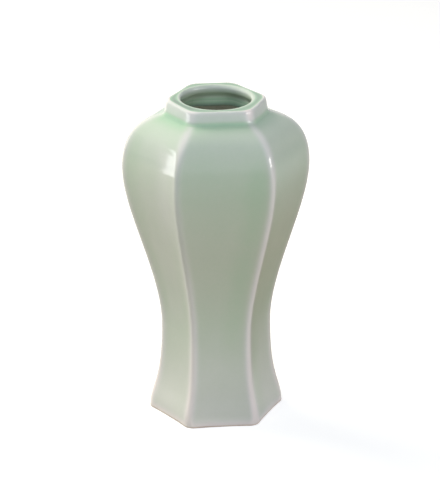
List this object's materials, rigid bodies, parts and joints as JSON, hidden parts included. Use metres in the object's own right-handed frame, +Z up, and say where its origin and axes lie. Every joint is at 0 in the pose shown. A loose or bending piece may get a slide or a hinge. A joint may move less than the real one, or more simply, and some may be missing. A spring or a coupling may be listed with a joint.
{
  "type": "hexagonal flower vase",
  "caption": "Six-sided celadon vase with a narrow waist, a swelling shoulder, ridged corners and a low hexagonal collar around a round mouth.",
  "frame": {"origin": "middle of the standing face, on the axis of the vase", "axes": "+Z up along the axis of the vase, one flat panel faces -Y, and two of the six ridges lie on the X axis"},
  "size_m": [0.142, 0.124, 0.2515],
  "materials": {
    "celadon_glaze": "glossy pale sea-green glaze, paler where it runs thin on the ridges and greener where it pools",
    "inner_glaze": "glossy sea-green glaze on the inside",
    "bare_clay": "bare fired clay, matt, with a pinkish cast at the edge of the glaze"
  },
  "bodies": {
    "root": {"foot_ring": "bare_clay", "base_floor": "inner_glaze", "body_wall": "celadon_glaze", "neck_collar": "celadon_glaze"}
  },
  "joints": []
}
